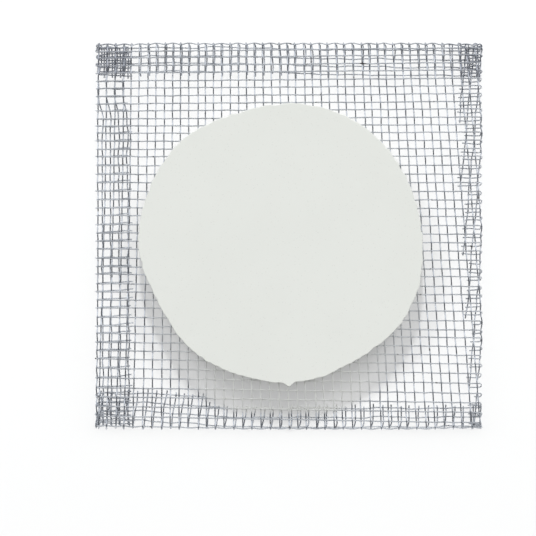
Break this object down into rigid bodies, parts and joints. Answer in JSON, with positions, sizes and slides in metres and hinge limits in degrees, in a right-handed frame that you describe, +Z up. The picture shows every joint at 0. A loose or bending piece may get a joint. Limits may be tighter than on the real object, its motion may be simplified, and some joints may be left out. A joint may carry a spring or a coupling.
{
  "type": "laboratory wire gauze",
  "caption": "Square of hemmed woven wire cloth with a round ceramic centre, laid on a tripod over a burner to spread heat under a beaker.",
  "frame": {"origin": "under the middle of the square sheet, on the surface that it lies on", "axes": "+Z up out of the coated upper face, +X along the weft wires, +Y along the warp wires"},
  "size_m": [0.125, 0.125, 0.0052],
  "materials": {
    "warp_steel": "bright drawn wire, dulled",
    "weft_steel": "bright drawn wire, dulled",
    "ceramic": "matt, slightly dented"
  },
  "bodies": {
    "root": {"warp_wires": "warp_steel", "weft_wires": "weft_steel", "ceramic_centre": "ceramic"}
  },
  "joints": []
}
